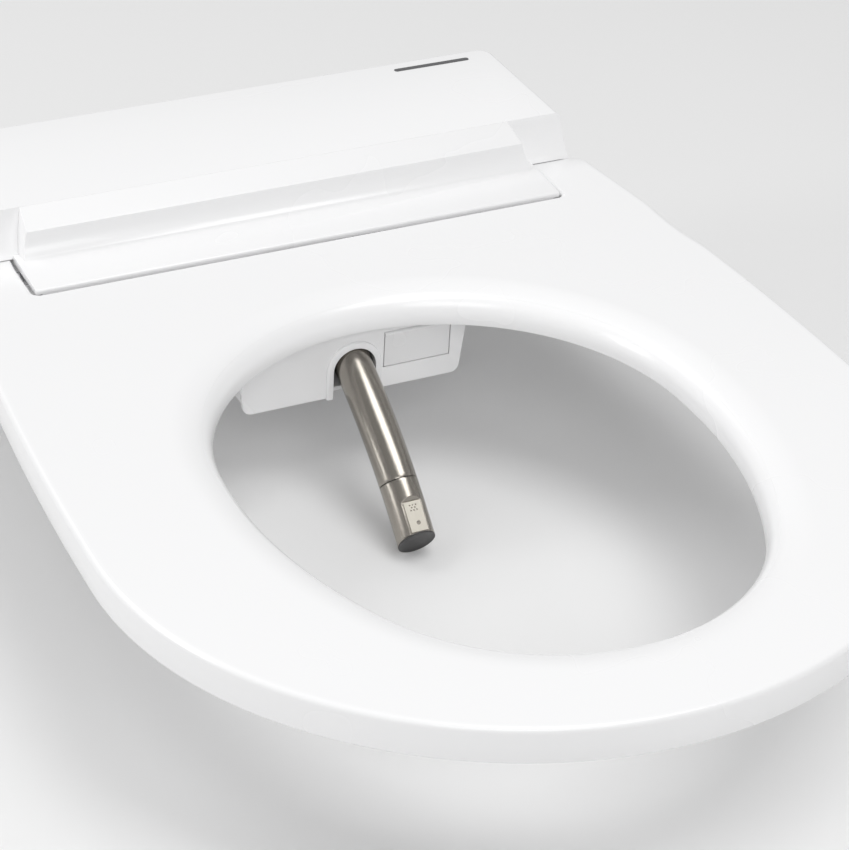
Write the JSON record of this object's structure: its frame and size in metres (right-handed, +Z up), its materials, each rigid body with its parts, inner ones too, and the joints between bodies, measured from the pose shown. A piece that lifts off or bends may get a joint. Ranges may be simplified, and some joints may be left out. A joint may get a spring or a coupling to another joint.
{
  "type": "electric bidet seat",
  "caption": "Slim electric bidet seat: heated D-shaped ring with notch, flush hinge cover, low rear housing, curved steel spray nozzle and dryer flap.",
  "frame": {"origin": "midway between the two bowl fixing bolts, on the plane of the bowl rim", "axes": "+X to the right seen from the front, +Y towards the wall, +Z up"},
  "size_m": [0.37, 0.511, 0.1195],
  "materials": {
    "white_gloss": "smooth gloss white moulding",
    "white_satin": "satin white moulding",
    "seat_white": "smooth gloss white moulding",
    "nozzle_steel": "brushed along the tube, slightly warm",
    "spray_steel": "fine satin",
    "dark_cap": "fine matte",
    "grey_inlay": "matte",
    "rubber_grey": "matte",
    "steel": "satin",
    "brass": "machined",
    "grey_plastic": "matte",
    "dark_plastic": "matte",
    "acetal": "matte",
    "circuit_green": "satin",
    "heater_foil": "foil",
    "copper": "enamelled"
  },
  "bodies": {
    "bracket": {"mounting_plate": "steel", "anti_slip_pad": "rubber_grey", "fixing_bolts": "steel", "fixing_washers": "steel"},
    "housing": {"base_pan": "white_satin", "top_cover": "white_gloss", "hinge_cover": "white_gloss", "badge_inlay": "grey_inlay", "cover_screws": "steel", "hinge_dampers": "grey_plastic", "nozzle_tray": "white_satin", "nozzle_fascia": "white_gloss", "nozzle_port_ring": "white_gloss", "nozzle_guide": "acetal", "flap_pin": "steel", "nozzle_motor": "steel", "motor_bracket": "grey_plastic", "blower_housing": "dark_plastic", "blower_motor": "steel", "dryer_duct": "grey_plastic", "air_heater": "heater_foil", "inlet_fitting": "brass", "inlet_filter": "steel", "solenoid_valve": "grey_plastic", "plunger_spring": "steel", "flow_heater": "steel", "spray_pump": "dark_plastic", "diverter_valve": "acetal", "water_pipes": "acetal", "control_board": "circuit_green", "power_board": "circuit_green", "transformer": "copper", "cable_gland": "rubber_grey", "button_guide": "white_satin", "release_spring": "steel"},
    "seat": {"seat_top_shell": "seat_white", "seat_bottom_shell": "white_satin", "seat_heater": "heater_foil", "occupancy_sensor": "grey_plastic", "seat_bumpers": "rubber_grey", "seat_hinge_pins": "steel"},
    "nozzle": {"nozzle_tube": "nozzle_steel", "nozzle_tip": "nozzle_steel", "spray_plate": "spray_steel", "nozzle_end_cap": "dark_cap", "nozzle_water_line": "acetal", "nozzle_carriage": "acetal"},
    "pinion": {"drive_pinion": "acetal"},
    "flap": {"dryer_flap": "white_gloss"},
    "impeller": {"blower_impeller": "dark_plastic"},
    "plunger": {"valve_plunger": "steel"},
    "button": {"release_button": "white_gloss"}
  },
  "joints": [
    {"name": "unit_release", "type": "slide", "parent": "bracket", "child": "housing", "axis": [0, -1, 0], "range_m": [0, 0.03]},
    {"name": "seat_hinge", "type": "hinge", "parent": "housing", "child": "seat", "pos_m": [0, -0.0376, 0.018], "axis": [-1, 0, 0], "range_deg": [0, 100]},
    {"name": "nozzle_travel", "type": "hinge", "parent": "housing", "child": "nozzle", "pos_m": [0, 0.0149, -0.2832], "axis": [-1, 0, 0], "range_deg": [0, 15.5]},
    {"name": "pinion_spin", "type": "hinge", "parent": "housing", "child": "pinion", "pos_m": [0.0135, -0.02543, 0.02316], "axis": [-1, 0, 0], "range_deg": [-943, 0]},
    {"name": "flap_hinge", "type": "hinge", "parent": "housing", "child": "flap", "pos_m": [0.0328, -0.1169, -0.0004], "axis": [-1, 0, 0], "range_deg": [0, 60]},
    {"name": "impeller_spin", "type": "hinge", "parent": "housing", "child": "impeller", "pos_m": [0.084, 0.024, 0.02], "axis": [0, 0, 1], "continuous": true},
    {"name": "plunger_lift", "type": "slide", "parent": "housing", "child": "plunger", "axis": [0, 0, 1], "range_m": [0, 0.003], "stiffness_N_per_m": 300, "springref_m": -0.004, "deforming": ["plunger_spring"]},
    {"name": "release_press", "type": "slide", "parent": "housing", "child": "button", "axis": [-1, 0, 0], "range_m": [0, 0.003], "stiffness_N_per_m": 500, "springref_m": -0.004, "deforming": ["release_spring"]}
  ],
  "couplings": [
    {"joint": "pinion_spin", "follows": "nozzle_travel", "ratio": -60.8}
  ]
}
